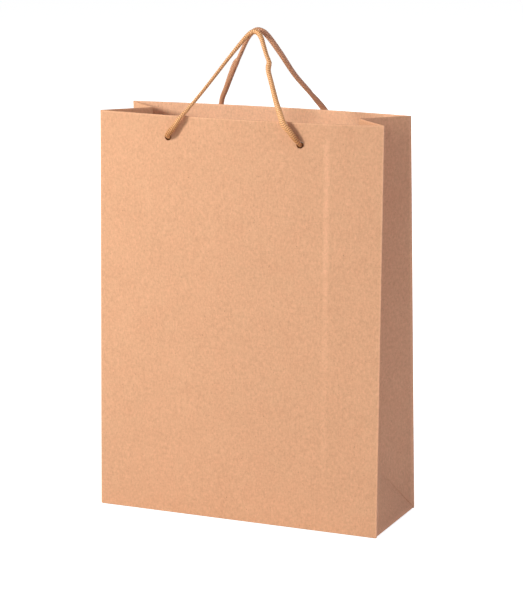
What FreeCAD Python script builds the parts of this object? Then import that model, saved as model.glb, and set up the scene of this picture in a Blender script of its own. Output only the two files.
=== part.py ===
import FreeCAD, Part
import math
import os

# A paper gift bag standing open: a creased paper tube on a flat glued base, with two cord handles.
# Millimetres. The origin is the centre of the underside, X runs across the bag, -Y is the front, +Z is up.

# Driving dimensions
WIDTH = 240.0
HEIGHT = 321.5
DEPTH = 85.0
MOUTH_LEAN = 13.2          # how far each big panel's top corners have leaned in
FRONT_BOW = 9.0            # outward bow in the middle of the front top edge
BACK_BOW = 7.5
PAPER = 0.25
CARD = 0.6
BOARD = 1.0
LAYER_GAP = 0.05           # air between glued or stacked layers
HEM_DEPTH = 40.0           # depth of the turned-in top

# Base
FLAP_DEPTH = 58.0          # how far the flaps reach in under the board
DUST_FLAP_INSET = 0.5      # of a dust flap's ends, from the corners of the base
DUST_FLAP_TAPER = 12.0
BOARD_INSET_X = 6.0
BOARD_INSET_Y = 2.5
BOARD_CLIP = 4.0           # cut off each corner of the board

# Top reinforcement, and the lap that closes the tube
HEM_INSET = 8.0            # of the hem's ends, from the side creases
HEM_CARD_INSET = 10.0
HEM_CARD_RISE = 3.0        # of the card's lower edge, above the hem's
HEM_CARD_DROP = 0.5        # of the card's upper edge, below the mouth
SEAM_TAB_WIDTH = 18.0
SEAM_TAB_INSET = 1.0
SEAM_TAB_BOTTOM = 3.0
SEAM_TAB_DROP = 2.0        # below the hem

# Gussets
HINGE_INSET = 0.65         # side crease line, inside the big panel's outer face
HINGE_X = 119.85
CREASE_GAP = 1.2           # each leaf stops this far short of the middle crease
SIDE_CREASE_GAP = 0.3      # and this far short of the side crease
LEAF_STEPS = 8             # cross-sections of a leaf, less one
LEAF_HEM_INSET = 8.0       # of the leaf's hem, from the side crease
LEAF_HEM_GAP = 1.6         # and from the middle crease
LEAF_HEM_DEPTH = 0.45      # of the hem's middle, behind the leaf's
FOOT_INSET = 1.5           # of the foot's corners, from the creases round it
FOOT_BOTTOM = 1.2
FOOT_SETBACK = 0.3         # from the side of the base

# Handles
HOLE_SPACING = 112.0
HOLE_OFFSET_X = -1.5
HOLE_Z = 304.5
HOLE_R = 3.4
CORD_R = 2.4
CORD_STEP = 1.5            # between the cord's cross-sections
CORD_CAP_ANGLES = [math.radians(a) for a in (25, 50, 72)]
KNOT_R = 4.7
KNOT_GAP = 0.9             # between the knot and the hem
LOOP_FOOT_SPACING = 87.0   # between the two legs where they pass the top edge
LOOP_FOOT_OFFSET_X = -1.0
LOOP_FOOT_Z = 320.5
LOOP_FOOT_Y = 43.0         # how far the cord stands out from the bag's middle plane
LOOP_FOOT_GAP = 0.2        # between a loop's foot and the cord end below it
APEX_X = 4.0
APEX_Z = 385.3
APEX_Y = 3.0

# Values that follow from them
HALF_W = WIDTH / 2
HALF_D = DEPTH / 2
LEAN_SLOPE = MOUTH_LEAN / HEIGHT
FOOT_HEIGHT = HALF_D / (1 + LEAN_SLOPE)     # height of the point where the gusset's creases meet
PANEL_BOTTOM = 0.7
LEAF_BOTTOM = 2.5                           # the leaf's foot, at the side crease
LEAF_TIP = FOOT_HEIGHT + 2.5                # and at the middle crease

PARTS = "parts"


def vec(x, y, z):
    return FreeCAD.Vector(x, y, z)


def closed_wire(points):
    return Part.makePolygon(points + [points[0]])


def plate(outline, z_low, thickness):
    """A flat horizontal plate from (x, y) corners."""
    face = Part.Face(closed_wire([vec(x, y, z_low) for x, y in outline]))
    return face.extrude(vec(0, 0, thickness))


def mirror_x(shape):
    return shape.mirror(vec(0, 0, 0), vec(1, 0, 0))


def mirror_y(shape):
    return shape.mirror(vec(0, 0, 0), vec(0, 1, 0))


# ---- Base: two long flaps and two dust flaps, glued, with a loose board on top ----

def long_flap(z_low):
    """A trapezoid hinged along the front edge, its ends cut by the 45 degree corner folds."""
    crease_y = -HALF_D
    free_y = crease_y + FLAP_DEPTH
    narrow = HALF_W - FLAP_DEPTH
    outline = [(-HALF_W, crease_y), (HALF_W, crease_y), (narrow, free_y), (-narrow, free_y)]
    return plate(outline, z_low, PAPER)


def dust_flap(z_low):
    """The right-hand gusset's own flap, turned in above the long flaps."""
    edge = HALF_D - DUST_FLAP_INSET
    narrow = edge - DUST_FLAP_TAPER
    inner_x = HALF_W - FLAP_DEPTH
    outline = [(HALF_W, -edge), (HALF_W, edge), (inner_x, narrow), (inner_x, -narrow)]
    return plate(outline, z_low, PAPER)


def base_board():
    """A loose stiffening board with clipped corners."""
    half_x = HALF_W - BOARD_INSET_X
    half_y = HALF_D - BOARD_INSET_Y
    clip = BOARD_CLIP
    z_low = 3 * (PAPER + LAYER_GAP) + LAYER_GAP
    outline = [
        (-half_x + clip, -half_y), (half_x - clip, -half_y),
        (half_x, -half_y + clip), (half_x, half_y - clip),
        (half_x - clip, half_y), (-half_x + clip, half_y),
        (-half_x, half_y - clip), (-half_x, -half_y + clip),
    ]
    return plate(outline, z_low, BOARD)


# ---- Big panels: flat at the bottom, bowed outward at the mouth ----

def panel_y(x, z, bow):
    """Outer face of the front panel."""
    across = 1 - (x / HALF_W) ** 2
    return -HALF_D + z * LEAN_SLOPE - bow * (z / HEIGHT) * across


def band(z, depth, thickness, x_low, x_high, bow):
    """Outline of a sheet at height z, depth behind the front panel's outer face."""
    x_mid = (x_low + x_high) / 2
    edges = []
    rows = []
    for inset in (depth, depth + thickness):
        rows.append([vec(x, panel_y(x, z, bow) + inset, z) for x in (x_low, x_mid, x_high)])
    for low, mid, high in rows:
        edges.append(Part.Arc(low, mid, high).toShape())
    outer, inner = rows
    right = Part.makeLine(outer[2], inner[2])
    left = Part.makeLine(inner[0], outer[0])
    return Part.Wire([edges[0], right, edges[1], left])


def bowed_sheet(depth, thickness, x_low, x_high, z_low, z_high, bow):
    sections = [band(z, depth, thickness, x_low, x_high, bow) for z in (z_low, z_high)]
    return Part.makeLoft(sections, True, True)


def hole_xs():
    return [HOLE_OFFSET_X + side * HOLE_SPACING / 2 for side in (-1, 1)]


def with_handle_holes(sheet):
    for x in hole_xs():
        drill = Part.makeCylinder(HOLE_R, DEPTH, vec(x, -DEPTH, HOLE_Z), vec(0, 1, 0))
        sheet = sheet.cut(drill)
    return sheet


def panel(bow):
    return with_handle_holes(bowed_sheet(0, PAPER, -HALF_W, HALF_W, PANEL_BOTTOM, HEIGHT, bow))


def hem_card(bow):
    """Reinforcing card between the panel and its turned-in top."""
    half_x = HALF_W - HEM_CARD_INSET
    z_low = HEIGHT - HEM_DEPTH + HEM_CARD_RISE
    z_high = HEIGHT - HEM_CARD_DROP
    depth = PAPER + LAYER_GAP
    return with_handle_holes(bowed_sheet(depth, CARD, -half_x, half_x, z_low, z_high, bow))


def hem(bow):
    """The panel's own turned-in top, behind the card."""
    half_x = HALF_W - HEM_INSET
    z_low = HEIGHT - HEM_DEPTH
    depth = PAPER + CARD + 2 * LAYER_GAP
    return with_handle_holes(bowed_sheet(depth, PAPER, -half_x, half_x, z_low, HEIGHT, bow))


def side_seam_tab(bow):
    """Glued lap that closes the paper tube, inside one edge of the back panel."""
    depth = PAPER + LAYER_GAP
    x_low = -HALF_W + SEAM_TAB_INSET
    x_high = x_low + SEAM_TAB_WIDTH
    z_high = HEIGHT - HEM_DEPTH - SEAM_TAB_DROP
    return bowed_sheet(depth, PAPER, x_low, x_high, SEAM_TAB_BOTTOM, z_high, bow)


# ---- Gussets: each side is two leaves that meet at the middle crease, above a triangular foot ----

def crease_inset(z):
    """How far the middle crease has folded in at height z."""
    in_y = HALF_D - z * LEAN_SLOPE
    return math.sqrt(HALF_D ** 2 - in_y ** 2)


def leaf_station(z_edge, z_crease, start, stop, offset):
    """One thin cross-section of the right front leaf, from its side crease to the middle crease."""
    side_crease = vec(HINGE_X, -HALF_D + HINGE_INSET + z_edge * LEAN_SLOPE, z_edge)
    middle_crease = vec(HALF_W - crease_inset(z_crease), 0, z_crease)
    along = middle_crease - side_crease
    flat = math.hypot(along.x, along.y)
    normal = vec(-along.y / flat, along.x / flat, 0)
    low = side_crease + along * (start / flat)
    high = side_crease + along * (1 - stop / abs(along.y))
    near = normal * (offset - PAPER / 2)
    far = normal * (offset + PAPER / 2)
    return closed_wire([low + near, high + near, high + far, low + far])


def leaf_sheet(t_low, start, stop, offset):
    """The leaf's straight rulings run from slanted at its foot (t = 0) to level at the mouth (t = 1)."""
    stations = []
    for i in range(LEAF_STEPS + 1):
        t = t_low + (1 - t_low) * i / LEAF_STEPS
        z_edge = LEAF_BOTTOM + (HEIGHT - LEAF_BOTTOM) * t
        z_crease = LEAF_TIP + (HEIGHT - LEAF_TIP) * t
        stations.append(leaf_station(z_edge, z_crease, start, stop, offset))
    return Part.makeLoft(stations, True, True)


def gusset_leaf():
    return leaf_sheet(0, SIDE_CREASE_GAP, CREASE_GAP, 0)


def gusset_leaf_hem():
    """The leaf's turned-in top, on the side that faces into the bag."""
    return leaf_sheet(1 - HEM_DEPTH / HEIGHT, LEAF_HEM_INSET, LEAF_HEM_GAP, LEAF_HEM_DEPTH)


def gusset_foot():
    """Triangle hinged on the base's right edge, tilted in to meet the middle crease."""
    half_base = HALF_D - FOOT_INSET
    base_x = HALF_W - FOOT_SETBACK
    tip_z = FOOT_HEIGHT - FOOT_INSET
    tip_x = HALF_W - crease_inset(FOOT_HEIGHT) * tip_z / FOOT_HEIGHT
    front_corner = vec(base_x, -half_base, FOOT_BOTTOM)
    back_corner = vec(base_x, half_base, FOOT_BOTTOM)
    face = Part.Face(closed_wire([front_corner, back_corner, vec(tip_x, 0, tip_z)]))
    normal = face.normalAt(0, 0)
    return face.extrude(normal * (PAPER if normal.x < 0 else -PAPER))


# ---- Handles: a cord loop, and at each hole a knotted cord end ----

def cord(points, start_r=CORD_R):
    """A round cord along a smooth curve, with ball-shaped ends centred on its end points.

    start_r is the radius of the first ball, which may be thicker than the cord.
    """
    curve = Part.BSplineCurve()
    curve.interpolate(points)
    length = curve.length()
    steps = round(length / CORD_STEP)
    rings = []
    for i in range(steps + 1):
        run = length * i / steps
        at = curve.parameterAtDistance(run, curve.FirstParameter)
        ball_r = math.sqrt(max(0, start_r ** 2 - run ** 2))
        rings.append((curve.value(at), curve.tangent(at)[0], max(CORD_R, ball_r)))
    first, first_tangent, _ = rings[0]
    last, last_tangent, _ = rings[-1]
    for angle in CORD_CAP_ANGLES:
        out = math.sin(angle)
        size = math.cos(angle)
        rings.insert(0, (first - first_tangent * (out * start_r), first_tangent, size * start_r))
        rings.append((last + last_tangent * (out * CORD_R), last_tangent, size * CORD_R))
    wires = []
    side = vec(1, 0, 0)
    for place, tangent, size in rings:
        side = (side - tangent * side.dot(tangent)).normalize()
        circle = Part.makeCircle(size)
        turn = FreeCAD.Rotation(side, tangent.cross(side), tangent, "ZXY")
        circle.Placement = FreeCAD.Placement(place, turn)
        wires.append(Part.Wire([circle]))
    return Part.makeLoft(wires, True, True)


def loop_foot_xs():
    return [LOOP_FOOT_OFFSET_X + side * LOOP_FOOT_SPACING / 2 for side in (-1, 1)]


def loop_point(x, z):
    """A point of the front loop, which leans in steadily from its feet to the apex."""
    rise = (z - LOOP_FOOT_Z) / (APEX_Z - LOOP_FOOT_Z)
    return vec(x, -LOOP_FOOT_Y + (LOOP_FOOT_Y - APEX_Y) * rise, z)


def handle_loop(left_leg, right_leg):
    """The front loop through its feet and the leg points given as (x, z), with round ends to turn on."""
    left_foot, right_foot = [loop_point(x, LOOP_FOOT_Z) for x in loop_foot_xs()]
    legs = [loop_point(x, z) for x, z in left_leg]
    legs.append(loop_point(APEX_X, APEX_Z))
    legs += [loop_point(x, z) for x, z in right_leg]
    return cord([left_foot] + legs + [right_foot])


def cord_end(hole_x, foot_x, bow):
    """Knot inside the bag, and the cord from it out through the hole and up to the loop's foot."""
    face_y = panel_y(hole_x, HOLE_Z, bow)
    wall_y = face_y + 2 * PAPER + CARD + 2 * LAYER_GAP
    foot = loop_point(foot_x, LOOP_FOOT_Z)
    lean_x = (foot_x - hole_x) / (LOOP_FOOT_Z - HOLE_Z)
    drop = 2 * CORD_R + LOOP_FOOT_GAP

    knot = vec(hole_x, wall_y + KNOT_R + KNOT_GAP, HOLE_Z)
    inner_rim = vec(hole_x, wall_y, HOLE_Z)
    outer_rim = vec(hole_x, face_y - 1.5, HOLE_Z + 0.3)
    bend = vec(hole_x + lean_x * 3.0, face_y - 5.8, HOLE_Z + 4.2)
    top = vec(foot.x - lean_x * drop * 0.7, foot.y, foot.z - drop)
    return cord([knot, inner_rim, outer_rim, bend, top], KNOT_R)


# Leg points (x, z) of the two loops, from the left foot up and from the apex down.
# Each loop has one soft kink.
FRONT_LEFT_LEG = [(-34.5, 334.0), (-23.7, 350.6), (-7.4, 374.5)]
FRONT_RIGHT_LEG = [(13.0, 375.0), (21.5, 361.0), (27.1, 348.4), (35.0, 333.5)]
BACK_LEFT_LEG = [(-38.0, 334.0), (-23.1, 358.9), (-8.0, 378.0)]
BACK_RIGHT_LEG = [(13.0, 376.0), (24.7, 349.7), (33.0, 334.5)]


def build():
    layer = PAPER + LAYER_GAP
    left_x, right_x = hole_xs()
    left_foot_x, right_foot_x = loop_foot_xs()
    leaf = gusset_leaf()
    leaf_hem = gusset_leaf_hem()
    foot = gusset_foot()
    right_dust_flap = dust_flap(2 * layer)
    return {
        "base_front_flap": long_flap(0),
        "base_back_flap": mirror_y(long_flap(layer)),
        "base_left_dust_flap": mirror_x(right_dust_flap),
        "base_right_dust_flap": right_dust_flap,
        "base_board": base_board(),
        "left_gusset_foot": mirror_x(foot),
        "right_gusset_foot": foot,
        "front_panel": panel(FRONT_BOW),
        "front_hem_card": hem_card(FRONT_BOW),
        "front_hem": hem(FRONT_BOW),
        "back_panel": mirror_y(panel(BACK_BOW)),
        "back_hem_card": mirror_y(hem_card(BACK_BOW)),
        "back_hem": mirror_y(hem(BACK_BOW)),
        "side_seam_tab": mirror_y(side_seam_tab(BACK_BOW)),
        "right_front_leaf": leaf,
        "right_back_leaf": mirror_y(leaf),
        "left_front_leaf": mirror_x(leaf),
        "left_back_leaf": mirror_x(mirror_y(leaf)),
        "right_front_leaf_hem": leaf_hem,
        "right_back_leaf_hem": mirror_y(leaf_hem),
        "left_front_leaf_hem": mirror_x(leaf_hem),
        "left_back_leaf_hem": mirror_x(mirror_y(leaf_hem)),
        "front_left_cord_end": cord_end(left_x, left_foot_x, FRONT_BOW),
        "front_right_cord_end": cord_end(right_x, right_foot_x, FRONT_BOW),
        "back_left_cord_end": mirror_y(cord_end(left_x, left_foot_x, BACK_BOW)),
        "back_right_cord_end": mirror_y(cord_end(right_x, right_foot_x, BACK_BOW)),
        "front_handle_cord": handle_loop(FRONT_LEFT_LEG, FRONT_RIGHT_LEG),
        "back_handle_cord": mirror_y(handle_loop(BACK_LEFT_LEG, BACK_RIGHT_LEG)),
    }


os.makedirs(PARTS, exist_ok=True)
for node, shape in build().items():
    shape.exportStep(os.path.join(PARTS, node + ".step"))
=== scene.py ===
import math

import bmesh
import bpy
from mathutils import Matrix, Vector, noise


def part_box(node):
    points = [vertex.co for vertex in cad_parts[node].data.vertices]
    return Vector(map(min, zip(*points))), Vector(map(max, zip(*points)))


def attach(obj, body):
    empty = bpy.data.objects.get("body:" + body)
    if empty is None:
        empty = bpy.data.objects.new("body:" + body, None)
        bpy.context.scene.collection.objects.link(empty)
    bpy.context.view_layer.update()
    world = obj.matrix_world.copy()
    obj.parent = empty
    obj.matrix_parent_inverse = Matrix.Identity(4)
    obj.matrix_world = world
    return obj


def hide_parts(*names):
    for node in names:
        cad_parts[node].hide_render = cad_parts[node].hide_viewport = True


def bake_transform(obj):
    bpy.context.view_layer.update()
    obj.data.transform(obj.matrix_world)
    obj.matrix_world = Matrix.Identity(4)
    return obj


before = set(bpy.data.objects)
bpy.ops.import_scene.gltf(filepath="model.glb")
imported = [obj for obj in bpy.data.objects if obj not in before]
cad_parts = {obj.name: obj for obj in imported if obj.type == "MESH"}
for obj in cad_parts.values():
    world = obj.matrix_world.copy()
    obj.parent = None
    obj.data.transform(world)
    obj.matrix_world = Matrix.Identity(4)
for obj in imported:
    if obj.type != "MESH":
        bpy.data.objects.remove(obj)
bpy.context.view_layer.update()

MM = 0.001

# The paper tube, as in the frame
WIDTH = 240.0
HEIGHT = 321.5
DEPTH = 85.0
MOUTH_LEAN = 13.2
BOW = {"front": 9.0, "back": 7.5}
PAPER = 0.25
CARD = 0.6
LAYER_GAP = 0.05
HEM_DEPTH = 40.0
FLAP_DEPTH = 58.0
HALF_W = WIDTH / 2
HALF_D = DEPTH / 2
LEAN_SLOPE = MOUTH_LEAN / HEIGHT
FOOT_HEIGHT = HALF_D / (1 + LEAN_SLOPE)

# Unevenness of the big panels
WAVE_ACROSS = 70.0
WAVE_UP = 160.0
WAVE_DEPTH = 0.35
RUB_X = 75.5               # where the folded gussets have pressed from inside
RUB_WIDTH = 2.2
RUB_DEPTH = 0.12
RUB_LEFT_SHARE = 0.5
SWELL_X = -6.0
SWELL_WIDTH = 38.0
SWELL_DEPTH = 0.6
CALM_ABOVE_BASE = 40.0     # height over which the unevenness comes in
CALM_BELOW_HEM = 30.0      # and over which it goes again

# Creases
CREASE_X = 119.85          # the line each gusset turns on
CREASE_INSET = 0.65        # of that line from the big panel's outer face
CREASE_R = CREASE_INSET - PAPER / 2
LEAF_PLAY = 0.03           # a leaf turns inside the big panel's corner with this much room
LEAF_CREASE_R = CREASE_R - LEAF_PLAY
BOTTOM_FOLD_R = 0.5
HEM_FOLD_R = (PAPER + CARD + 2 * LAYER_GAP) / 2
LEAF_HEM_GAP = 0.2
LEAF_FOLD_R = (PAPER + LEAF_HEM_GAP) / 2
CREASE_LIP = 0.5           # how far a leaf's edge crosses behind its neighbour
LEAF_CREASE_START = math.radians(45)
LEAF_FOOT_Z = 0.7
LEAF_HEM_START = 3.0       # first stretch of a leaf's hem, which doesn't go round the side crease
FOOT_GAP = 0.5             # between a foot's sides and the big panels' outer faces
FOOT_TIP = 0.2             # half width left at a foot's apex
FOOT_TOP = 0.99            # share of a foot's height where its sheet ends
DUST_FLAP_TAPER = 12.0     # on each side, at the free edge

# Fineness of the sheets
CORNER_TURNS = [math.radians(a) for a in (15, 30, 45, 60, 75, 90, 102)]
COLUMN_STEP = 2.4
ROW_STEP = 2.6
FLAP_STEP = 3.0
BOTTOM_FOLD_STEPS = 6
HEM_FOLD_STEPS = 8
LEAF_FOLD_STEPS = 6
LEAF_CREASE_STEPS = 6
LEAF_COLUMNS = 16
LEAF_ROWS = 100
LEAF_HEM_STEP = 4.0
FOOT_COLUMNS = 24
FOOT_ROWS = 30
WELD = 0.01                # points nearer to each other than this become one
SHARP_ANGLE = math.radians(50)
FACING_IN = 0.5            # faces that look into the bag have at least this share of their normal along Y

# Base board
BOARD_CLIP = 4.0
BOARD_SOFT_EDGE = 0.25

# Holes and cords
HOLES_X = (-57.5, 54.5)
HOLE_Z = 304.5
HOLE_R = 3.0
LOOP_FOOT_X = 44.0
LOOP_FOOT_Z = 320.5
LOOP_FOOT_Y = 41.05
LOOP_FOOT_SKEW = 0.2       # the right leg stands this much further out, and the left leg this much less
APEX_Z = 385.3
APEX_Y = 3.0
CORD_WIDTH = 4.2
CORD_DEEPEST = 3.8
CORD_STEP = 0.24
CORD_SEGMENTS = 44
CORD_END_LENGTH = 1.2      # over which a cut end is rounded off
CORD_END_AREA = 0.15       # share of the section that is left at the very end
CURVE_FINENESS = 0.1
BRAID_STITCHES = 3
BRAID_PITCH = 1.25
BRAID_TWIST = 2
BRAID_SLANT = 1.4          # how far the stitches run along the cord between columns, in radians of pitch
BRAID_RELIEF = 0.16
STITCH_SHARE = 0.75        # of the relief; the grooves between columns have the rest

# Knots: a trefoil behind each hole, and a tail as (x, y, z, width) from the knot's centre
KNOT_SIZE = 1.75
KNOT_DEPTH = 2.1
KNOT_REACH = 5.95          # of its centre behind the panel's outer face
KNOT_DROP = 3.4            # below the hole
KNOT_TURNS = (3.75, 8.85)  # where the cord enters and leaves the trefoil, in radians
KNOT_TURN_STEP = 0.283
KNOT_CORD = 3.9
KNOT_ENTRY = (1.6, 4.2)    # distance behind the panel's outer face, and width
KNOT_TAIL = [(-5.4, 1.0, 4.0, 4.2), (-7.4, 0.2, 0.5, 4.5), (-8.0, -0.6, -4.5, 4.6), (-7.8, -1.2, -9.0, 4.7)]

# Stubs are the cord's ends outside the paper, as (x, distance out from the paper, z, width).
# Loops are as (x, z, width). Both run from left to right.
FRONT_LEFT_STUB = [
    (-57.0, -0.6, 305.0, 3.6), (-56.2, 3.1, 306.1, 4.1), (-54.0, 4.1, 308.6, 4.5), (-49.1, 3.6, 314.6, 3.8),
]
FRONT_RIGHT_STUB = [
    (47.8, 3.7, 314.6, 4.9), (52.2, 3.0, 308.8, 4.3), (54.1, 1.8, 306.0, 2.9), (54.9, -0.5, 304.3, 2.6),
]
FRONT_LOOP = [
    (-44.8, 320.5, 3.3), (-41.2, 325.2, 2.8), (-32.6, 337.2, 2.6), (-23.9, 350.6, 2.6), (-13.8, 366.7, 2.8),
    (-4.6, 380.1, 3.4), (-1.6, 383.5, 3.8), (0.9, 385.1, 4.0), (4.2, 385.2, 4.0), (8.3, 382.0, 3.8),
    (12.9, 374.8, 3.4), (16.6, 368.8, 3.2), (19.3, 365.0, 3.4), (20.3, 362.9, 4.2), (20.3, 360.6, 4.4),
    (21.0, 357.6, 3.9), (26.0, 348.4, 3.9), (33.1, 335.6, 4.4), (39.3, 325.8, 4.9), (42.8, 320.5, 5.2),
]
BACK_LEFT_STUB = [
    (-57.5, -0.4, 304.4, 4.0), (-57.0, 1.9, 305.6, 4.4), (-55.4, 4.6, 308.6, 4.6), (-50.6, 5.6, 315.0, 4.6),
]
BACK_RIGHT_STUB = [
    (46.0, 5.6, 315.0, 4.6), (52.4, 4.6, 308.6, 4.6), (54.2, 1.9, 305.6, 4.4), (54.5, -0.4, 304.4, 4.0),
]
BACK_LOOP = [
    (-47.4, 320.5, 4.2), (-44.4, 326.7, 4.3), (-39.4, 334.1, 4.4), (-31.2, 347.0, 4.9), (-26.2, 354.5, 5.1),
    (-23.9, 357.6, 5.0), (-22.5, 359.2, 4.3), (-20.9, 361.0, 3.3), (-18.4, 364.4, 3.2), (-6.8, 379.9, 3.3),
    (-1.6, 384.6, 4.0), (2.9, 386.2, 4.2), (7.0, 384.9, 4.5), (9.9, 381.6, 4.7), (16.8, 367.8, 4.5),
    (24.6, 349.7, 4.1), (33.4, 335.9, 4.0), (34.9, 333.4, 3.7), (36.8, 330.6, 4.3), (42.7, 320.5, 5.0),
]

# Colours
KRAFT_OUTSIDE = (0.70, 0.375, 0.225)
# Painted light: the paper inside the bag is made paler than outside, for light reaching in
KRAFT_INSIDE_PAINTED_LIGHT = (0.93, 0.545, 0.355)
WARM_DRIFT = (1.012, 0.985, 0.985)
COOL_DRIFT = (0.988, 1.015, 1.015)
TONE_POWERS = (1.0, 1.15, 1.3)     # how strongly red, green and blue follow the tone
KRAFT_ROUGHNESS = 0.78
BOARD_COLOUR = (0.40, 0.31, 0.22)
# Cord colours; the groove colour is painted shade in the grooves between the stitches
GOLDEN = {"groove_shade": (0.50, 0.19, 0.055), "thread": (0.97, 0.53, 0.25)}
# The back cord is the golden cord with painted shade: darker and duller
GOLDEN_IN_SHADE = {"groove_shade": (0.52, 0.23, 0.12), "thread": (0.70, 0.36, 0.21)}
# Painted shade: this colour darkens the cords towards the holes
CORD_END_SHADE = (0.62, 0.50, 0.36)
CORD_END_SHADE_HEIGHTS = (304.0, 326.0)   # from full painted shade to none

# Painted highlight as pale streaks on the ridges the folded gussets have pressed up, as (x, half width,
# strength), and painted highlight along the creases
HIGHLIGHT_STREAKS = [(RUB_X, 3.4, 1.0), (-RUB_X, 3.0, 0.15)]
STREAK_CORE = 0.2                  # share of the half width with full strength
STREAK_WANDER = 4.0
STREAK_RISE = (50.0, 220.0)
STREAK_END = (295.0, 318.0)
STREAK_HIGHLIGHT_PALENESS = 0.12
EDGE_HIGHLIGHT_SIDE = (1.2, 0.2)        # distances from the crease where the painted highlight starts and is full
EDGE_HIGHLIGHT_TOP = (1.6, 0.6)
EDGE_HIGHLIGHT_PALENESS = 0.11

# Camera and light
CAMERA_AZIMUTH = 23.99
CAMERA_ELEVATION = 12.55
CAMERA_ROLL = -0.4
CAMERA_DISTANCE = 1892.75
CAMERA_TARGET = Vector((0, 0, 165))
CAMERA_SHIFT = (4.77, 6.03)
CAMERA_LENS = 142.37
CAMERA_SENSOR = 36
LIGHT_TARGET = Vector((0, 0, 170))
LIGHT_DISTANCE = 2400

# Each light as (azimuth, elevation, size in metres, power in watts, colour)
LIGHTS = {
    "key": (-40, 22, 0.60, 49, (1.0, 1.0, 0.92)),
    "front": (0, 28, 0.80, 3, (1.0, 1.0, 0.94)),
    "top": (-20, 72, 1.20, 7, (1.0, 1.0, 1.0)),
    "right": (85, 5, 1.50, 19, (0.98, 0.96, 1.14)),
    "rear": (180, 20, 1.50, 20, (1.0, 1.0, 0.96)),
}
FILL_COLOUR = (0.94, 0.97, 1.0, 1)
FILL_STRENGTH = 0.11
WHITE = (1, 1, 1, 1)
FLOOR_REACH = 12.0                 # metres from the middle to each side
FLOOR_DROP = 0.5                   # below the bag
FLOOR_COLOUR = (0.86, 0.86, 0.86, 1)
FLOOR_GLOW = 0.88


# ---- Meshes ----

def new_object(name, bm):
    mesh = bpy.data.meshes.new(name)
    bm.to_mesh(mesh)
    bm.free()
    made = bpy.data.objects.new(name, mesh)
    bpy.context.scene.collection.objects.link(made)
    return made


def apply_modifiers(made):
    bpy.context.view_layer.update()
    final = bpy.data.meshes.new_from_object(made.evaluated_get(bpy.context.evaluated_depsgraph_get()))
    made.modifiers.clear()
    made.data = final
    final.shade_smooth()
    final.set_sharp_from_angle(angle=SHARP_ANGLE)


def punch_holes(bm, centres):
    """Opens a round hole through every layer at each (x, z)."""
    for x, z in centres:
        centre = Vector((x, 0, z)) * MM

        def reach(point):
            return Vector((point.x - centre.x, 0, point.z - centre.z))

        inside = [f for f in bm.faces if reach(f.calc_center_median()).length < HOLE_R * MM]
        rim = {v for f in inside for v in f.verts}
        bmesh.ops.delete(bm, geom=inside, context="FACES")
        for v in rim:
            if v.is_valid:
                out = reach(v.co)
                v.co += out.normalized() * (HOLE_R * MM) - out


def paper_sheet(name, rows, holes=()):
    """A sheet of paper whose middle surface runs through rows of points."""
    bm = bmesh.new()
    grid = [[bm.verts.new(p * MM) for p in row] for row in rows]
    for low, high in zip(grid, grid[1:]):
        for j in range(len(low) - 1):
            bm.faces.new((low[j], low[j + 1], high[j + 1], high[j]))
    bmesh.ops.remove_doubles(bm, verts=bm.verts, dist=WELD * MM)
    punch_holes(bm, holes)
    made = new_object(name, bm)
    thick = made.modifiers.new("paper", "SOLIDIFY")
    thick.thickness = PAPER * MM
    thick.offset = 0
    apply_modifiers(made)
    return made


def blend_up(made):
    """Bakes the piece's placement into its mesh."""
    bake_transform(made)


def spread(low, high, step):
    """Evenly spaced values from low to high, about a step apart."""
    count = max(1, round(abs(high - low) / step))
    return [low + (high - low) * i / count for i in range(count + 1)]


def refined(low, high, step, fine_at, fine_reach=4.4, fine_step=0.7):
    """Like spread, with smaller steps round each value in fine_at."""
    values = [low]
    for centre in sorted(fine_at):
        values += spread(values[-1], centre - fine_reach, step)[1:]
        values += spread(centre - fine_reach, centre + fine_reach, fine_step)[1:]
    return values + spread(values[-1], high, step)[1:]


def bottom_fold(flap_z):
    """The quarter turn from a flap into an upright sheet, as (distance in from the edge, height)."""
    turns = [math.radians(90 * step / BOTTOM_FOLD_STEPS) for step in range(1, BOTTOM_FOLD_STEPS)]
    return [(BOTTOM_FOLD_R * (1 - math.sin(t)), flap_z + BOTTOM_FOLD_R * (1 - math.cos(t))) for t in turns]


def top_fold(radius, steps):
    """The half turn from a sheet into its hem, as (distance in, distance up) from where it starts."""
    turns = [math.pi * step / steps for step in range(1, steps)]
    return [(radius * (1 - math.cos(t)), radius * math.sin(t)) for t in turns]


def facing(rows, side_x, side_y):
    """The same rows for the sheet on the given sides, 1 or -1; side_y 1 is the front."""
    return [[Vector((p.x * side_x, p.y * side_y, p.z)) for p in row] for row in rows]


# ---- Big panels: base flap, bottom fold, face, top fold and hem in one sheet ----

def face_y(x, z, bow):
    """Outer face of the front panel."""
    return -HALF_D + z * LEAN_SLOPE - bow * (z / HEIGHT) * (1 - (x / HALF_W) ** 2)


def bell(distance, width):
    """1 in the middle, fading to nothing over about two widths."""
    return math.exp(-((distance / width) ** 2))


def ripple(x, z):
    """Gentle unevenness of the face, none at its edges or over the hem."""
    below_hem = HEIGHT - HEM_DEPTH - z
    fade = (1 - (x / HALF_W) ** 4) * min(1, z / CALM_ABOVE_BASE) * max(0, min(1, below_hem / CALM_BELOW_HEM))
    wave = noise.noise(Vector((x / WAVE_ACROSS, z / WAVE_UP, 0)))
    rub = bell(x - RUB_X, RUB_WIDTH) + RUB_LEFT_SHARE * bell(x + RUB_X, RUB_WIDTH)
    swell = bell(x - SWELL_X, SWELL_WIDTH)
    return fade * (WAVE_DEPTH * wave - RUB_DEPTH * rub - SWELL_DEPTH * swell)


def straight_row(half_x, y, z, count):
    return [Vector((half_x * (2 * j / (count - 1) - 1), y, z)) for j in range(count)]


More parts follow.
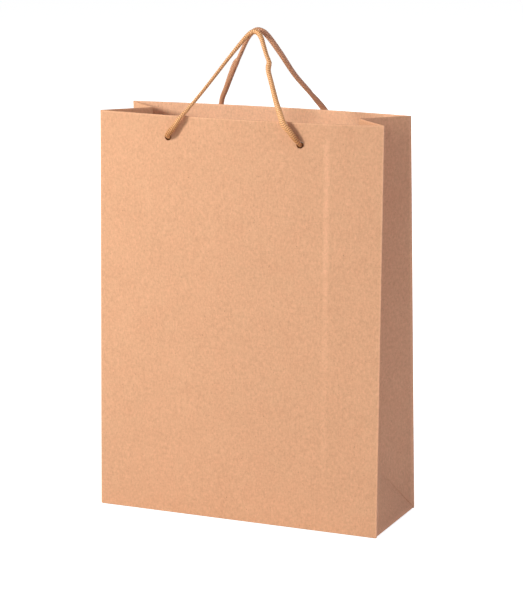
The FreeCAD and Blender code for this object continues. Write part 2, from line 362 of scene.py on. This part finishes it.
def face_row(columns, bow, z, depth=0, level=None, turned=True):
    """One row of the front sheet with its corners.

    depth is behind the outer layer, and level replaces z in the rows of the top fold. A row that isn't
    turned stops where the corners start: the points that would go round them fall together.
    """
    height = z if level is None else level
    centre_y = -HALF_D + CREASE_INSET + z * LEAN_SLOPE
    row = [Vector((x, face_y(x, z, bow) + PAPER / 2 + depth + ripple(x, z), height)) for x in columns]
    for turn in CORNER_TURNS:
        side = Vector((CREASE_R * math.sin(turn), -CREASE_R * math.cos(turn), 0))
        if not turned:
            side = Vector((0, -CREASE_R + depth, 0))
        row.append(Vector((CREASE_X, centre_y, height)) + side)
        row.insert(0, Vector((-CREASE_X, centre_y, height)) + Vector((-side.x, side.y, 0)))
    return row


def panel_rows(bow, flap_z):
    """Rows of the front sheet: base flap, bottom fold, face, top fold and hem, in that order."""
    columns = refined(-CREASE_X, CREASE_X, COLUMN_STEP, HOLES_X)
    count = len(columns) + 2 * len(CORNER_TURNS)
    outer_y = -HALF_D + PAPER / 2
    rows = []
    for out in spread(FLAP_DEPTH, BOTTOM_FOLD_R, FLAP_STEP):
        rows.append(straight_row(HALF_W - out, outer_y + out, flap_z, count))
    for inward, z in bottom_fold(flap_z):
        rows.append(straight_row(CREASE_X, outer_y + inward, z, count))
    fold_z = HEIGHT - PAPER / 2 - HEM_FOLD_R
    heights = refined(flap_z + BOTTOM_FOLD_R, fold_z, ROW_STEP, [HOLE_Z])
    for z in heights:
        rows.append(face_row(columns, bow, z))
    for step, (depth, rise) in enumerate(top_fold(HEM_FOLD_R, HEM_FOLD_STEPS), start=1):
        outer_half = step <= HEM_FOLD_STEPS / 2
        rows.append(face_row(columns, bow, fold_z, depth, fold_z + rise, turned=outer_half))
    for z in reversed([h for h in heights if h > HEIGHT - HEM_DEPTH]):
        rows.append(face_row(columns, bow, z, 2 * HEM_FOLD_R, turned=False))
    return rows


def mark_inside(made, outward):
    """Marks the faces that look into the bag for the second material, painted paler to stand in for light;
    outward is 1 or -1 along Y.
    """
    for polygon in made.data.polygons:
        if polygon.normal.y * outward < -FACING_IN:
            polygon.material_index = 1


def big_panel(face):
    flap_z = PAPER / 2 if face == "front" else PAPER * 1.5 + LAYER_GAP
    rows = facing(panel_rows(BOW[face], flap_z), 1, 1 if face == "front" else -1)
    made = paper_sheet(face + "_sheet", rows, [(x, HOLE_Z) for x in HOLES_X])
    blend_up(made)
    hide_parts(face + "_panel", face + "_hem", "base_" + face + "_flap")
    mark_inside(made, -1 if face == "front" else 1)
    return made


# ---- Gussets: two leaves and a foot on each side ----

def crease_inset(z):
    """How far the gusset's middle crease has folded in at height z."""
    in_y = HALF_D - z * LEAN_SLOPE
    return math.sqrt(HALF_D ** 2 - in_y ** 2)


def leaf_row(z_edge, z_crease, depth=0, lift=0, flat_start=0):
    """Right front leaf from its side crease to the middle crease.

    depth is towards the inside of the bag. With a flat_start the row doesn't go round the side crease,
    and its first points are spread over that length of the flat instead.
    """
    hinge = Vector((CREASE_X, -HALF_D + CREASE_INSET + z_edge * LEAN_SLOPE, z_edge + lift))
    middle = Vector((HALF_W - crease_inset(z_crease), 0, z_crease + lift))
    along = (middle - hinge).to_2d().normalized()
    shares = spread(0, 1, 1 / LEAF_CREASE_STEPS)
    sweep = math.atan2(-along.x, along.y) + math.pi / 2 - LEAF_CREASE_START
    turns = [LEAF_CREASE_START + sweep * share for share in shares]
    row = [hinge + LEAF_CREASE_R * Vector((math.sin(t), -math.cos(t), 0)) for t in turns]
    if flat_start:
        flat = (middle - row[-1]).normalized()
        row = [row[-1] + flat * (flat_start * share) for share in shares]
    reach = 1 + CREASE_LIP / (middle - hinge).length
    rest = middle - row[-1]
    row += [row[-1] + rest * (reach * share) for share in spread(0, 1, 1 / LEAF_COLUMNS)[1:]]
    inward = Vector((-along.y, along.x, 0)) * depth
    return [p + inward for p in row]


def leaf_rows():
    """Rows of the right front leaf from its foot to the top fold, and down the hem."""
    fold_z = HEIGHT - PAPER / 2 - LEAF_FOLD_R
    rows = []
    for share in spread(0, 1, 1 / LEAF_ROWS):
        z_edge = LEAF_FOOT_Z + (fold_z - LEAF_FOOT_Z) * share
        z_crease = FOOT_HEIGHT + (fold_z - FOOT_HEIGHT) * share
        rows.append(leaf_row(z_edge, z_crease))
    for step, (depth, rise) in enumerate(top_fold(LEAF_FOLD_R, LEAF_FOLD_STEPS), start=1):
        rows.append(leaf_row(fold_z, fold_z, depth, rise, LEAF_HEM_START * step / LEAF_FOLD_STEPS))
    for z in spread(fold_z, HEIGHT - HEM_DEPTH, LEAF_HEM_STEP):
        rows.append(leaf_row(z, z, 2 * LEAF_FOLD_R, 0, LEAF_HEM_START))
    return rows


def gusset_leaf(side, face):
    """A leaf's sheet, in place of the CAD leaf and its hem, which are hidden."""
    side_x = 1 if side == "right" else -1
    side_y = 1 if face == "front" else -1
    body = side + "_" + face + "_leaf"
    made = paper_sheet(body + "_sheet", facing(leaf_rows(), side_x, side_y))
    blend_up(made)
    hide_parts(body, body + "_hem")
    return made


def foot_rows():
    """Right-hand foot: its flap under the board, the bottom fold and the triangle up to the apex."""
    flap_z = PAPER * 2.5 + 2 * LAYER_GAP
    base_x = HALF_W - PAPER
    half_y = HALF_D - FOOT_GAP
    outline = []
    for out in spread(FLAP_DEPTH, BOTTOM_FOLD_R, FLAP_STEP):
        outline.append((half_y - DUST_FLAP_TAPER * out / FLAP_DEPTH, base_x - out, flap_z))
    for inward, z in bottom_fold(flap_z):
        outline.append((half_y, base_x - inward, z))
    low = flap_z + BOTTOM_FOLD_R
    lean = HALF_W - crease_inset(FOOT_HEIGHT) - base_x
    for share in spread(0, FOOT_TOP, 1 / FOOT_ROWS):
        z = low + (FOOT_HEIGHT - low) * share
        outline.append((half_y * (1 - share) + FOOT_TIP, base_x + lean * share, z))
    shares = spread(-1, 1, 2 / FOOT_COLUMNS)
    return [[Vector((x, reach * share, z)) for share in shares] for reach, x, z in outline]


def gusset_foot(side):
    body = side + "_gusset_foot"
    made = paper_sheet(body + "_sheet", facing(foot_rows(), 1 if side == "right" else -1, 1))
    blend_up(made)
    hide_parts(body, "base_" + side + "_dust_flap")
    return made


# ---- Base board ----

def base_board():
    """The loose board, with clipped corners and softened edges."""
    low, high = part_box("base_board")
    clip = BOARD_CLIP * MM
    corners = []
    for side_x, side_y in ((1, -1), (1, 1), (-1, 1), (-1, -1)):
        x = high.x * side_x
        y = high.y * side_y
        pair = [Vector((x - side_x * clip, y, low.z)), Vector((x, y - side_y * clip, low.z))]
        corners += pair if side_x * side_y < 0 else pair[::-1]
    bm = bmesh.new()
    bottom = bm.faces.new([bm.verts.new(c) for c in corners])
    lifted = bmesh.ops.extrude_face_region(bm, geom=[bottom])["geom"]
    top = [v for v in lifted if isinstance(v, bmesh.types.BMVert)]
    bmesh.ops.translate(bm, verts=top, vec=Vector((0, 0, high.z - low.z)))
    bmesh.ops.recalc_face_normals(bm, faces=bm.faces)
    made = new_object("board_sheet", bm)
    soft = made.modifiers.new("edges", "BEVEL")
    soft.width = BOARD_SOFT_EDGE * MM
    soft.segments = 3
    apply_modifiers(made)
    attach(made, "base_board")
    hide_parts("base_board")
    return made


# ---- Cords ----

def loop_y(x, z):
    """The front loop leans in steadily from its feet to the apex."""
    foot_y = LOOP_FOOT_Y + LOOP_FOOT_SKEW * x / LOOP_FOOT_X
    return -foot_y + (foot_y - APEX_Y) * (z - LOOP_FOOT_Z) / (APEX_Z - LOOP_FOOT_Z)


def on_curve(four, knots, t):
    """The point at t on a centripetal Catmull-Rom curve between the middle two of four points."""
    def mix(near, far, first, last):
        return near.lerp(far, (t - knots[first]) / (knots[last] - knots[first]))

    sides = [mix(four[i], four[i + 1], i, i + 1) for i in range(3)]
    bends = [mix(sides[i], sides[i + 1], i, i + 2) for i in range(2)]
    return mix(bends[0], bends[1], 1, 2)


def thinned(points, step):
    """Every point that is about a step further along than the last one kept."""
    kept = [points[0]]
    run = 0.0
    for near, far in zip(points, points[1:]):
        run += (far - near).to_3d().length
        if run >= step:
            kept.append(far)
            run = 0.0
    return kept


def curve_through(points, step):
    """Points a step apart along a smooth curve; each point is (x, y, z, width)."""
    points = [points[0] * 2 - points[1]] + points + [points[-1] * 2 - points[-2]]
    dense = []
    for four in zip(points, points[1:], points[2:], points[3:]):
        knots = [0.0]
        for near, far in zip(four, four[1:]):
            knots.append(knots[-1] + math.sqrt((far - near).to_3d().length))
        count = max(2, round((four[2] - four[1]).to_3d().length / CURVE_FINENESS))
        for i in range(count):
            dense.append(on_curve(four, knots, knots[1] + (knots[2] - knots[1]) * i / count))
    dense.append(points[-2])
    return thinned(dense, step)


def braid_relief(angle, run):
    """Height of the slanting stitches at a place on the cord, from -1 to 1."""
    bend = BRAID_SLANT * math.cos(BRAID_STITCHES * angle)
    stitch = math.cos(math.tau * run / BRAID_PITCH + BRAID_TWIST * angle + bend)
    column = math.cos(2 * BRAID_STITCHES * angle)
    return STITCH_SHARE * stitch - (1 - STITCH_SHARE) * column


def cord_ring(centre, tangent, side, run, to_end):
    """One braided section.

    Its oval gets shallower as it gets wider across the bag, and is never deeper than CORD_DEEPEST.
    run is the distance along the cord, and to_end the distance to its nearer end.
    """
    depth = tangent.cross(side)
    across = tangent.cross(Vector((0, 1, 0)))
    lean = math.atan2(across.dot(depth), across.dot(side))
    wide = centre.w / 2
    thick = min((CORD_WIDTH / 2) ** 2 / wide, CORD_DEEPEST / 2)
    rounding = 1 - (1 - min(1, to_end / CORD_END_LENGTH)) ** 2
    cap = math.sqrt(max(CORD_END_AREA, rounding))
    ring = []
    for j in range(CORD_SEGMENTS):
        angle = math.tau * j / CORD_SEGMENTS
        turned = angle - lean
        oval = wide * thick / math.hypot(thick * math.cos(turned), wide * math.sin(turned))
        size = (oval + BRAID_RELIEF * braid_relief(angle, run)) * cap
        ring.append(centre.to_3d() + (side * math.cos(angle) + depth * math.sin(angle)) * size)
    return ring


def cord_rings(centres):
    """Sections all along the cord; the direction they start from is carried along without twisting."""
    side = Vector((1, 0, 0))
    last = len(centres) - 1
    rings = []
    for i, centre in enumerate(centres):
        tangent = (centres[min(i + 1, last)] - centres[max(i - 1, 0)]).to_3d().normalized()
        side = (side - tangent * side.dot(tangent)).normalized()
        rings.append(cord_ring(centre, tangent, side, i * CORD_STEP, min(i, last - i) * CORD_STEP))
    return rings


def cord_piece(name, path):
    """A braided cord along the path. Its braid map runs once round it, and along it in stitches."""
    bm = bmesh.new()
    braid = bm.loops.layers.uv.new("braid")
    rings = [[bm.verts.new(p * MM) for p in ring] for ring in cord_rings(curve_through(path, CORD_STEP))]
    for i, (low, high) in enumerate(zip(rings, rings[1:])):
        for j in range(CORD_SEGMENTS):
            beside = (j + 1) % CORD_SEGMENTS
            face = bm.faces.new((low[j], low[beside], high[beside], high[j]))
            places = ((j, i), (j + 1, i), (j + 1, i + 1), (j, i + 1))
            for loop, (segment, ring) in zip(face.loops, places):
                loop[braid].uv = (segment / CORD_SEGMENTS, ring * CORD_STEP / BRAID_PITCH)
    bm.faces.new(rings[0][::-1])
    bm.faces.new(rings[-1])
    made = new_object(name, bm)
    made.data.shade_smooth()
    return made


def knot_path(hole_x, face, hang):
    """From the hole through an overhand knot to a short tail, which falls to the side of hang, 1 or -1."""
    wall_y = face_y(hole_x, HOLE_Z, BOW[face])
    centre = Vector((hole_x, wall_y + KNOT_REACH, HOLE_Z - KNOT_DROP))
    entry_depth, entry_width = KNOT_ENTRY
    points = [Vector((hole_x, wall_y + entry_depth, HOLE_Z, entry_width))]
    for turn in spread(*KNOT_TURNS, KNOT_TURN_STEP):
        x = KNOT_SIZE * (math.sin(turn) + 2 * math.sin(2 * turn)) * hang
        y = KNOT_DEPTH * math.sin(3 * turn)
        z = -KNOT_SIZE * (math.cos(turn) - 2 * math.cos(2 * turn))
        points.append(Vector((centre.x + x, centre.y + y, centre.z + z, KNOT_CORD)))
    for x, y, z, width in KNOT_TAIL:
        points.append(Vector((centre.x + x * hang, centre.y + y, centre.z + z, width)))
    return points


def stub_path(stub, face):
    return [Vector((x, face_y(x, z, BOW[face]) - out, z, width)) for x, out, z, width in stub]


def handle(face, left_stub, loop, right_stub):
    """One continuous cord: knotted inside, out through a hole, round the loop and in to the other knot."""
    hang = 1 if face == "front" else -1
    left = knot_path(HOLES_X[0], face, hang)[::-1] + stub_path(left_stub, face)
    right = stub_path(right_stub, face) + knot_path(HOLES_X[1], face, -hang)
    path = left + [Vector((x, loop_y(x, z), z, width)) for x, z, width in loop] + right
    if face == "back":
        path = [Vector((p.x, -p.y, p.z, p.w)) for p in path]
    made = cord_piece(face + "_cord", path)
    blend_up(made)
    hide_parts(face + "_left_cord_end", face + "_right_cord_end", face + "_handle_cord")
    return made


# ---- Materials ----

def connect(tree, socket, value):
    """Gives an input a value, or links it from another node's output."""
    if isinstance(value, bpy.types.NodeSocket):
        tree.links.new(value, socket)
    else:
        socket.default_value = value


def add(tree, kind, settings=None, **inputs):
    """Adds a shader node with its settings and inputs."""
    made = tree.nodes.new("ShaderNode" + kind)
    for key, value in (settings or {}).items():
        setattr(made, key, value)
    for key, value in inputs.items():
        connect(tree, made.inputs[key.replace("_", " ")], value)
    return made


def calc(tree, operation, *values):
    made = add(tree, "Math", {"operation": operation})
    for socket, value in zip(made.inputs, values):
        connect(tree, socket, value)
    return made.outputs[0]


def total(tree, first, *others):
    for other in others:
        first = calc(tree, "ADD", first, other)
    return first


def mixed(tree, share, first, second, blend="MIX"):
    """From the first colour to the second by share."""
    made = add(tree, "MixRGB", {"blend_type": blend}, Fac=share, Color1=first, Color2=second)
    return made.outputs["Color"]


def ramp(tree, value, low, high, out_low=0.0, out_high=1.0, curve="SMOOTHSTEP"):
    """Follows value from low to high, smoothly unless another curve is given."""
    made = add(tree, "MapRange", {"interpolation_type": curve}, Value=value, From_Min=low, From_Max=high,
               To_Min=out_low, To_Max=out_high)
    return made.outputs[0]


def centred_noise(tree, vector, scale, detail, size):
    """Noise from -size/2 to size/2."""
    made = add(tree, "TexNoise", None, Vector=vector, Scale=scale, Detail=detail, Roughness=0.6)
    return calc(tree, "MULTIPLY", calc(tree, "SUBTRACT", made.outputs["Fac"], 0.5), size)


def toned(tree, colour, tone):
    """The colour made darker or paler by tone; darker is also warmer."""
    red, green, blue = [calc(tree, "POWER", tone, power) for power in TONE_POWERS]
    scales = add(tree, "CombineXYZ", None, X=red, Y=green, Z=blue)
    made = add(tree, "VectorMath", {"operation": "MULTIPLY"})
    connect(tree, made.inputs[0], colour)
    connect(tree, made.inputs[1], scales.outputs["Vector"])
    return made.outputs["Vector"]


def stretched(tree, vector, scale, turn=0.0):
    made = add(tree, "Mapping", None, Vector=vector, Scale=scale, Rotation=(0, turn, 0))
    return made.outputs["Vector"]


def new_material(name):
    made = bpy.data.materials.new(name)
    made.use_nodes = True
    made.node_tree.nodes.clear()
    return made, made.node_tree


def object_point(tree):
    return add(tree, "TexCoord").outputs["Object"]


def finish_material(tree, colour, height, roughness, bump_distance, specular=0.25, sheen=0.0):
    bump = add(tree, "Bump", None, Height=height, Distance=bump_distance, Strength=1.0)
    surface = add(tree, "BsdfPrincipled", None, Base_Color=colour, Roughness=roughness,
                  Normal=bump.outputs["Normal"], Specular_IOR_Level=specular, Sheen_Weight=sheen)
    add(tree, "OutputMaterial", None, Surface=surface.outputs["BSDF"])


def ridge_highlight_streaks(tree, point):
    """Painted highlight: pale upright streaks on the ridges where the folded gussets have pressed from
    inside.
    """
    position = add(tree, "SeparateXYZ", None, Vector=point)
    height = position.outputs["Z"]
    upright = stretched(tree, point, (1, 1, 0.15))
    wander = centred_noise(tree, upright, scale=30, detail=2, size=STREAK_WANDER * MM)
    x = calc(tree, "ADD", position.outputs["X"], wander)
    streaks = []
    for centre, half_width, strength in HIGHLIGHT_STREAKS:
        distance = calc(tree, "ABSOLUTE", calc(tree, "SUBTRACT", x, centre * MM))
        core = half_width * STREAK_CORE
        streaks.append(ramp(tree, distance, half_width * MM, core * MM, out_low=0, out_high=strength))
    low, high = [z * MM for z in STREAK_RISE]
    rise = ramp(tree, height, low, high, out_low=0.2, curve="LINEAR")
    full, gone = [z * MM for z in STREAK_END]
    reach = calc(tree, "MULTIPLY", rise, ramp(tree, height, gone, full))
    patches = centred_noise(tree, point, scale=90, detail=3, size=1.0)
    broken = ramp(tree, patches, -0.25, 0.15, out_low=0.35)
    return calc(tree, "MULTIPLY", calc(tree, "MULTIPLY", total(tree, *streaks), reach), broken)


def crease_highlights(tree, point):
    """Painted highlight: the paper made paler along the front's top fold and the upright creases."""
    position = add(tree, "SeparateXYZ", None, Vector=point)
    across = calc(tree, "ABSOLUTE", position.outputs["X"])
    upright = ramp(tree, across, *[(CREASE_X - inset) * MM for inset in EDGE_HIGHLIGHT_SIDE])
    top = ramp(tree, position.outputs["Z"], *[(HEIGHT - drop) * MM for drop in EDGE_HIGHLIGHT_TOP])
    in_front = ramp(tree, position.outputs["Y"], 10 * MM, -10 * MM)
    return calc(tree, "MAXIMUM", upright, calc(tree, "MULTIPLY", top, in_front))


def crossing_fibres(tree, point):
    """Fine fibres, most of them upright and some nearly level."""
    upright = centred_noise(tree, stretched(tree, point, (1, 1, 0.2)), scale=1500, detail=2, size=0.228)
    level = centred_noise(tree, stretched(tree, point, (0.2, 0.2, 1), 0.3), scale=1500, detail=2, size=0.171)
    return calc(tree, "ADD", upright, level)


def kraft_tone(tree, point, mottle, fibres, streaks):
    """Cloudy pulp with dark and pale flecks, and a painted highlight along the creases."""
    clouds = centred_noise(tree, point, scale=30, detail=3, size=0.09)
    fleck = centred_noise(tree, stretched(tree, point, (1, 1, 0.45), 0.6), scale=900, detail=2, size=1.0)
    dark = ramp(tree, fleck, 0.20, 0.26, out_low=0, out_high=0.40)
    pale = ramp(tree, fleck, -0.20, -0.28, out_low=0, out_high=0.10)
    # painted highlight along the folds and creases
    painted_mark = calc(tree, "MULTIPLY", crease_highlights(tree, point), EDGE_HIGHLIGHT_PALENESS)
    tone = total(tree, 1.0, clouds, mottle, fibres, pale, painted_mark)
    tone = calc(tree, "SUBTRACT", tone, dark)
    # painted highlight on the pressed ridges
    if streaks:
        tone = calc(tree, "ADD", tone, calc(tree, "MULTIPLY", ridge_highlight_streaks(tree, point), STREAK_HIGHLIGHT_PALENESS))
    return tone


def kraft_paper(name, tint, streaks=False):
    """Unbleached paper, drifting a little between a warmer and a cooler brown."""
    made, tree = new_material(name)
    point = object_point(tree)
    mottle = centred_noise(tree, stretched(tree, point, (1, 1, 0.75)), scale=620, detail=3, size=0.437)
    fibres = crossing_fibres(tree, point)
    drift = calc(tree, "ADD", centred_noise(tree, point, scale=85, detail=2, size=1.2), 0.5)
    warm, cool = [(*[t * d for t, d in zip(tint, drifted)], 1) for drifted in (WARM_DRIFT, COOL_DRIFT)]
    colour = toned(tree, mixed(tree, drift, warm, cool), kraft_tone(tree, point, mottle, fibres, streaks))
    roughness = calc(tree, "ADD", KRAFT_ROUGHNESS, calc(tree, "MULTIPLY", mottle, 0.3))
    finish_material(tree, colour, calc(tree, "ADD", fibres, mottle), roughness, bump_distance=0.12 * MM)
    return made


def grey_board(name):
    """Pressed pulp board, rougher and duller than the paper."""
    made, tree = new_material(name)
    point = object_point(tree)
    clouds = centred_noise(tree, point, scale=60, detail=4, size=0.10)
    grit = centred_noise(tree, point, scale=1400, detail=4, size=0.35)
    tone = total(tree, clouds, grit, 1.0)
    colour = add(tree, "VectorMath", {"operation": "SCALE"}, Vector=BOARD_COLOUR, Scale=tone)
    finish_material(tree, colour.outputs["Vector"], grit, roughness=0.9, bump_distance=0.2 * MM)
    return made


def braid_stitches(tree):
    """The same slanting stitches as in the cord's relief, from -1 to 1."""
    place = add(tree, "UVMap", {"uv_map": "braid"}).outputs["UV"]
    parts = add(tree, "SeparateXYZ", None, Vector=place)
    angle = calc(tree, "MULTIPLY", parts.outputs["X"], math.tau)
    along = calc(tree, "MULTIPLY", parts.outputs["Y"], math.tau)
    twist = calc(tree, "MULTIPLY", angle, BRAID_TWIST)
    column = calc(tree, "COSINE", calc(tree, "MULTIPLY", angle, BRAID_STITCHES))
    bend = calc(tree, "MULTIPLY", column, BRAID_SLANT)
    return calc(tree, "COSINE", total(tree, along, twist, bend))


def braided_cord(name, groove_shade, thread):
    """Braid with painted shade in the grooves between its stitches, fine fibres, and painted shade on the
    ends near the holes.
    """
    made, tree = new_material(name)
    point = object_point(tree)
    # painted shade in the grooves, full colour on the stitches
    ridge = ramp(tree, braid_stitches(tree), -1.0, 0.4)
    stitch = mixed(tree, ridge, (*groove_shade, 1), (*thread, 1))
    height = add(tree, "SeparateXYZ", None, Vector=point).outputs["Z"]
    painted_mark, unmarked = [z * MM for z in CORD_END_SHADE_HEIGHTS]
    # painted shade on the cord's ends near the holes
    end_shade = ramp(tree, height, painted_mark, unmarked, out_low=1.0, out_high=0.0)
    colour = mixed(tree, end_shade, stitch, (*CORD_END_SHADE, 1), blend="MULTIPLY")
    wear = centred_noise(tree, point, scale=160, detail=3, size=0.22)
    fibre = centred_noise(tree, point, scale=3500, detail=3, size=0.30)
    colour = toned(tree, colour, total(tree, wear, fibre, 1.0))
    finish_material(tree, colour, fibre, roughness=0.48, bump_distance=0.2 * MM, specular=0.5, sheen=0.05)
    return made


def paint(made, slot, *materials):
    """Gives a piece its materials; faces marked for the second one keep their mark."""
    marks = [polygon.material_index for polygon in made.data.polygons]
    made.data.materials.clear()
    for material in materials:
        made.data.materials.append(material)
    if len(materials) > 1:
        made.data.polygons.foreach_set("material_index", marks)


# ---- Stage, light and camera ----

def seen_by_camera(tree, unseen, seen):
    """Shows the camera one shader while the bag is lit by the other."""
    mix = add(tree, "MixShader", None, Fac=add(tree, "LightPath").outputs["Is Camera Ray"])
    connect(tree, mix.inputs[1], unseen)
    connect(tree, mix.inputs[2], seen)
    return mix.outputs[0]


def floor():
    """A wide pale floor that looks white to the camera, with soft shadows."""
    bm = bmesh.new()
    bmesh.ops.create_grid(bm, x_segments=1, y_segments=1, size=FLOOR_REACH)
    made = new_object("floor", bm)
    made.location.z = -FLOOR_DROP * MM
    material, tree = new_material("pale_floor")
    diffuse = add(tree, "BsdfDiffuse", None, Color=FLOOR_COLOUR).outputs[0]
    glow = add(tree, "Emission", None, Color=WHITE, Strength=FLOOR_GLOW).outputs[0]
    both = add(tree, "AddShader")
    connect(tree, both.inputs[0], diffuse)
    connect(tree, both.inputs[1], glow)
    add(tree, "OutputMaterial", None, Surface=seen_by_camera(tree, diffuse, both.outputs[0]))
    made.data.materials.append(material)


def surroundings():
    """Cool, even fill from all round; the camera sees plain white."""
    world = bpy.data.worlds.new("studio")
    bpy.context.scene.world = world
    world.use_nodes = True
    tree = world.node_tree
    tree.nodes.clear()
    fill = add(tree, "Background", None, Color=FILL_COLOUR, Strength=FILL_STRENGTH).outputs[0]
    white = add(tree, "Background", None, Color=WHITE, Strength=1.0).outputs[0]
    add(tree, "OutputWorld", None, Surface=seen_by_camera(tree, fill, white))


def direction(azimuth, elevation):
    """From the bag outwards; azimuth 0 is in front and turns towards +X."""
    a = math.radians(azimuth)
    e = math.radians(elevation)
    return Vector((math.sin(a) * math.cos(e), -math.cos(a) * math.cos(e), math.sin(e)))


def soft_light(name, azimuth, elevation, size, power, colour):
    """A round light aimed at the bag."""
    out = direction(azimuth, elevation)
    data = bpy.data.lights.new(name, "AREA")
    data.shape = "DISK"
    data.size = size
    data.energy = power
    data.color = colour
    made = bpy.data.objects.new(name, data)
    bpy.context.scene.collection.objects.link(made)
    made.location = (LIGHT_TARGET + out * LIGHT_DISTANCE) * MM
    made.rotation_euler = (-out).to_track_quat("-Z", "Y").to_euler()


def camera():
    roll = math.radians(CAMERA_ROLL)
    back = direction(CAMERA_AZIMUTH, CAMERA_ELEVATION)
    level = direction(CAMERA_AZIMUTH + 90, 0)
    upright = back.cross(level)
    right = level * math.cos(roll) + upright * math.sin(roll)
    up = upright * math.cos(roll) - level * math.sin(roll)
    place = CAMERA_TARGET + back * CAMERA_DISTANCE + right * CAMERA_SHIFT[0] + up * CAMERA_SHIFT[1]
    data = bpy.data.cameras.new("camera")
    data.sensor_width = CAMERA_SENSOR
    data.lens = CAMERA_LENS
    made = bpy.data.objects.new("camera", data)
    bpy.context.scene.collection.objects.link(made)
    turn = Matrix((right, up, back)).transposed().to_4x4()
    made.matrix_world = Matrix.Translation(place * MM) @ turn
    bpy.context.scene.camera = made


def build():
    kraft_face = kraft_paper("kraft_face", KRAFT_OUTSIDE, streaks=True)
    kraft_inside = kraft_paper("kraft_inside", KRAFT_INSIDE_PAINTED_LIGHT)
    kraft_side = kraft_paper("kraft_side", KRAFT_OUTSIDE)
    board = grey_board("pulp_board")
    golden_cord = braided_cord("golden_cord", **GOLDEN)
    golden_cord_painted_shade = braided_cord("golden_cord_painted_shade", **GOLDEN_IN_SHADE)
    for face in ("front", "back"):
        paint(big_panel(face), "kraft_panels", kraft_face, kraft_inside)
        for side in ("left", "right"):
            paint(gusset_leaf(side, face), "kraft_gussets", kraft_side)
    for side in ("left", "right"):
        paint(gusset_foot(side), "kraft_gussets", kraft_side)
    paint(base_board(), "board", board)
    paint(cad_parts["side_seam_tab"], "kraft_inside", kraft_inside)
    paint(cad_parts["front_hem_card"], "board", board)
    paint(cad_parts["back_hem_card"], "board", board)
    paint(handle("front", FRONT_LEFT_STUB, FRONT_LOOP, FRONT_RIGHT_STUB), "cord", golden_cord)
    paint(handle("back", BACK_LEFT_STUB, BACK_LOOP, BACK_RIGHT_STUB), "cord", golden_cord_painted_shade)


build()
floor()
surroundings()
for name, settings in LIGHTS.items():
    soft_light(name, *settings)
camera()
bpy.context.scene.view_settings.view_transform = "Standard"
